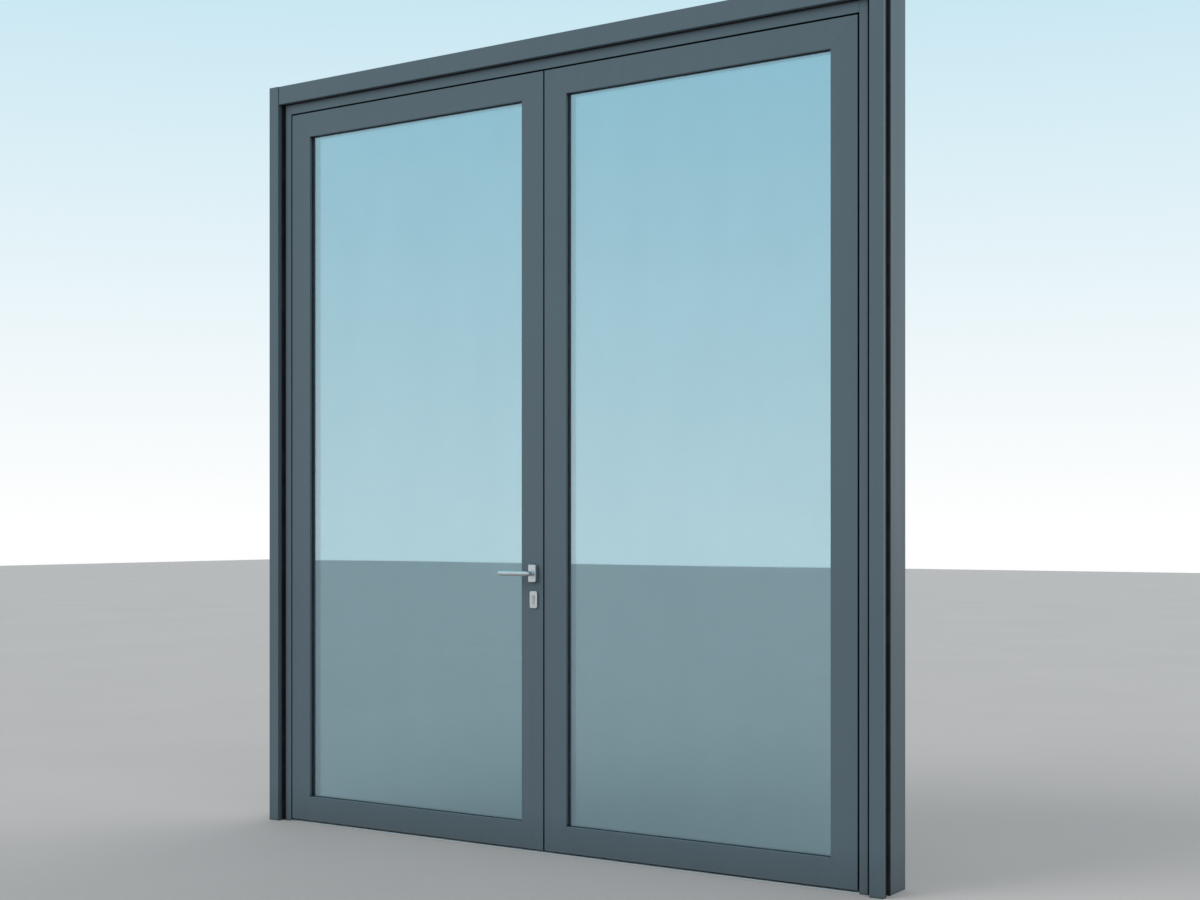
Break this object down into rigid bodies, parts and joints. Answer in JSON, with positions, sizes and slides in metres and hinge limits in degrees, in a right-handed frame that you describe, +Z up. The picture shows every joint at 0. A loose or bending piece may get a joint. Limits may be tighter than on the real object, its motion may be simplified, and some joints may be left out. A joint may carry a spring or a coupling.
{
  "type": "double-leaf glass entrance door",
  "caption": "Tall two-leaf glazed entrance door in a slim aluminium frame between facade posts, opening inwards on barrel hinges, with a lever handle, a lock and flush bolts.",
  "frame": {"origin": "on the floor under the middle of the threshold, midway through the depth of the door leaves", "axes": "+Z up, +X to the right seen from outside, +Y inwards through the door; outside faces -Y"},
  "size_m": [2.78, 0.2235, 3.085],
  "materials": {
    "painted_frame": "fine satin powder coat, slate blue-grey",
    "bare_aluminium": "natural anodised",
    "hinge_metal": "satin powder coat",
    "satin_steel": "satin brushed",
    "plated_steel": "zinc plated",
    "nickel_brass": "matt nickel plated",
    "coated_glass": "polished, blue-green solar control coating",
    "clear_glass": "polished, clear",
    "spacer_bar": "dark anodised",
    "black_rubber": "matt",
    "black_plastic": "matt",
    "black_brush": "pile strip"
  },
  "bodies": {
    "frame": {"post_left": "painted_frame", "post_right": "painted_frame", "header_beam": "painted_frame", "pressure_plates": "bare_aluminium", "post_caps": "painted_frame", "header_cap": "painted_frame", "frame_adapters": "black_plastic", "pocket_gaskets": "black_rubber", "jamb_left": "painted_frame", "jamb_right": "painted_frame", "head_rail": "painted_frame", "frame_thermal_breaks": "black_plastic", "stop_gaskets": "black_rubber", "threshold": "bare_aluminium", "hinge_frame_parts": "hinge_metal", "hinge_pins": "satin_steel"},
    "left_leaf": {"left_hinge_stile": "painted_frame", "left_meeting_stile": "painted_frame", "left_top_rail": "painted_frame", "left_bottom_rail": "painted_frame", "left_thermal_breaks": "black_plastic", "left_outer_pane": "coated_glass", "left_inner_pane": "clear_glass", "left_spacer": "spacer_bar", "left_glazing_gaskets": "black_rubber", "left_glazing_beads": "painted_frame", "left_setting_blocks": "black_plastic", "left_bottom_brush": "black_brush", "left_meeting_gasket": "black_rubber", "left_hinge_leaf_parts": "hinge_metal", "lock_case": "plated_steel", "lock_faceplate": "satin_steel", "handle_roses": "satin_steel", "cylinder_escutcheons": "satin_steel", "cylinder_body": "nickel_brass"},
    "right_leaf": {"right_hinge_stile": "painted_frame", "right_meeting_stile": "painted_frame", "right_top_rail": "painted_frame", "right_bottom_rail": "painted_frame", "right_thermal_breaks": "black_plastic", "right_outer_pane": "coated_glass", "right_inner_pane": "clear_glass", "right_spacer": "spacer_bar", "right_glazing_gaskets": "black_rubber", "right_glazing_beads": "painted_frame", "right_setting_blocks": "black_plastic", "right_bottom_brush": "black_brush", "right_meeting_gasket": "black_rubber", "right_hinge_leaf_parts": "hinge_metal", "strike_plate": "satin_steel", "flush_bolt_plates": "satin_steel"},
    "lever_set": {"lever_outside": "satin_steel", "lever_inside": "satin_steel", "spindle": "plated_steel", "follower": "plated_steel"},
    "key_plug": {"cylinder_plug": "nickel_brass"},
    "dead_bolt": {"dead_bolt": "plated_steel"},
    "latch_bolt": {"latch_bolt": "plated_steel"},
    "flush_bolt_top": {"flush_bolt_top": "plated_steel"},
    "flush_bolt_bottom": {"flush_bolt_bottom": "plated_steel"}
  },
  "joints": [
    {"name": "left_leaf_swing", "type": "hinge", "parent": "frame", "child": "left_leaf", "pos_m": [-1.307, 0.048, 1.486], "axis": [0, 0, 1], "range_deg": [0, 100]},
    {"name": "right_leaf_swing", "type": "hinge", "parent": "frame", "child": "right_leaf", "pos_m": [1.307, 0.048, 1.486], "axis": [0, 0, -1], "range_deg": [0, 100]},
    {"name": "lever_turn", "type": "hinge", "parent": "left_leaf", "child": "lever_set", "pos_m": [-0.043, 0, 1.059], "axis": [0, -1, 0], "range_deg": [0, 40], "stiffness_Nm_per_rad": 1, "springref_deg": -68.75},
    {"name": "key_turn", "type": "hinge", "parent": "left_leaf", "child": "key_plug", "pos_m": [-0.043, 0, 0.967], "axis": [0, -1, 0], "range_deg": [0, 360]},
    {"name": "dead_bolt_slide", "type": "slide", "parent": "left_leaf", "child": "dead_bolt", "axis": [1, 0, 0], "range_m": [0, 0.02]},
    {"name": "latch_slide", "type": "slide", "parent": "left_leaf", "child": "latch_bolt", "axis": [1, 0, 0], "range_m": [0, 0.012]},
    {"name": "flush_bolt_top_slide", "type": "slide", "parent": "right_leaf", "child": "flush_bolt_top", "axis": [0, 0, 1], "range_m": [0, 0.02]},
    {"name": "flush_bolt_bottom_slide", "type": "slide", "parent": "right_leaf", "child": "flush_bolt_bottom", "axis": [0, 0, -1], "range_m": [0, 0.011]}
  ],
  "couplings": [
    {"joint": "key_turn", "follows": "dead_bolt_slide", "rad_per_m": 314.15}
  ]
}
